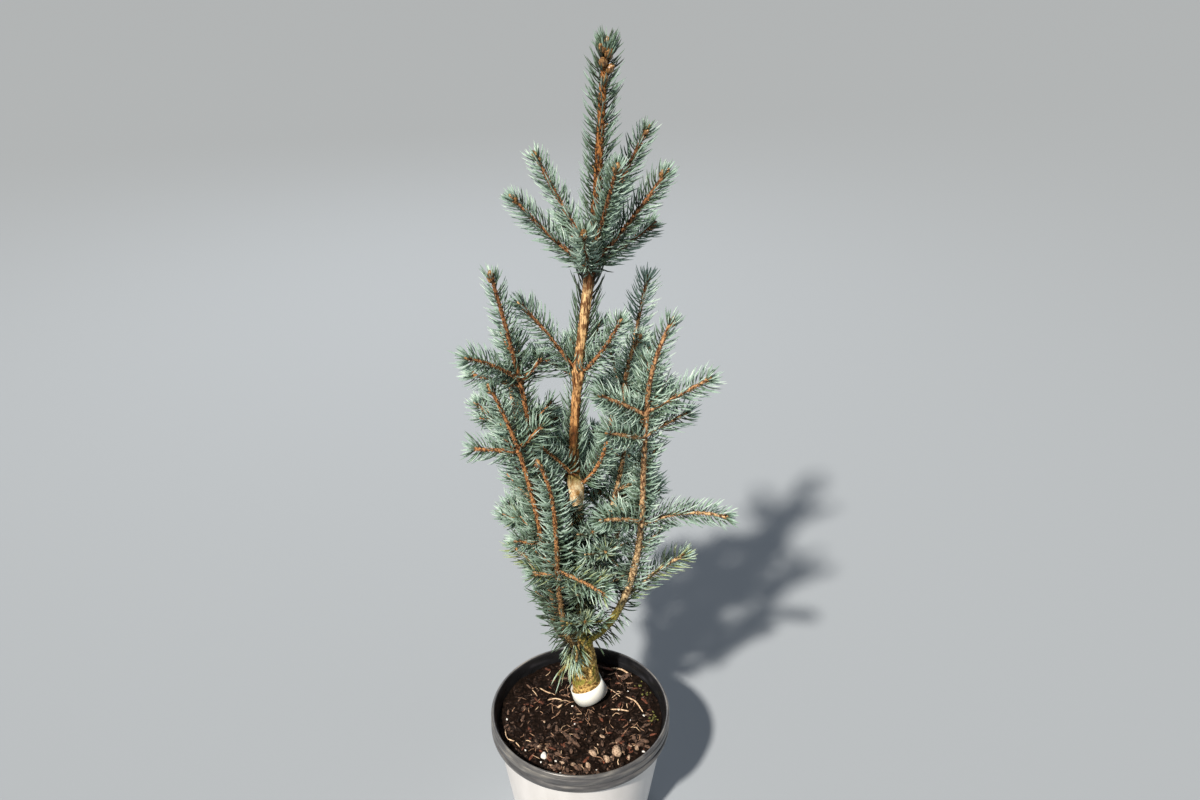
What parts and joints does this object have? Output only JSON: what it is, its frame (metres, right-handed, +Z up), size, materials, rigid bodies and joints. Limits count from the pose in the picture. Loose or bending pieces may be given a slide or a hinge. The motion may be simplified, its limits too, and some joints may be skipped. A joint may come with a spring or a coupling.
{
  "type": "potted blue spruce",
  "caption": "Young blue spruce with steep needle-clad boughs round a tall trunk, in a dark nursery pot set in a white outer pot.",
  "frame": {"origin": "middle of the outer pot's flat underside", "axes": "+Z up along the pots' axis, -Y towards the side that the picture shows, +X to the right in the picture"},
  "size_m": [0.2708, 0.2324, 0.8359],
  "materials": {
    "outer_pot": "white moulded plastic, slightly shiny",
    "nursery_pot": "charcoal moulded plastic, satin",
    "compost": "dark moist bark compost, rough",
    "label": "white blank label strip",
    "trunk_bark": "tan peeling bark",
    "bough_bark": "orange brown bark with needle pegs",
    "needles": "grey blue-green needles with a pale bloom"
  },
  "bodies": {
    "root": {"outer_pot": "outer_pot", "nursery_pot": "nursery_pot", "compost": "compost", "trunk": "trunk_bark", "trunk_label": "label", "bough_right_front": "bough_bark", "bough_right_back": "bough_bark", "bough_left_tall": "bough_bark", "bough_left_middle": "bough_bark", "bough_left_front": "bough_bark", "bough_back_left": "bough_bark", "bough_back_right": "bough_bark", "bough_back_middle": "bough_bark", "top_shoot_left_low": "needles", "top_shoot_left_high": "needles", "top_shoot_front": "needles", "top_shoot_front_right": "needles", "top_shoot_right_high": "needles", "top_shoot_right_low": "needles", "top_shoot_back_right": "needles", "top_shoot_back_left": "needles", "top_shoot_back": "needles", "upper_shoot_left": "needles", "upper_shoot_right": "needles", "upper_shoot_back_right": "needles", "upper_shoot_back_left": "needles", "upper_shoot_back": "needles", "middle_shoot_left": "needles", "middle_shoot_right": "needles", "middle_shoot_back_left": "needles", "middle_shoot_back": "needles", "middle_shoot_back_right": "needles", "front_spray_knot": "needles", "front_spray_top": "needles", "front_spray_side": "needles", "front_spray_high": "needles", "front_spray_middle": "needles", "front_spray_bud": "needles", "front_spray_low": "needles", "foot_spray_front": "needles", "foot_spray_left": "needles", "foliage_right_front": "needles", "foliage_right_back": "needles", "foliage_left_tall": "needles", "foliage_left_middle": "needles", "foliage_left_front": "needles", "foliage_back_left": "needles", "foliage_back_right": "needles", "foliage_back_middle": "needles", "leader_needles": "needles"}
  },
  "joints": []
}
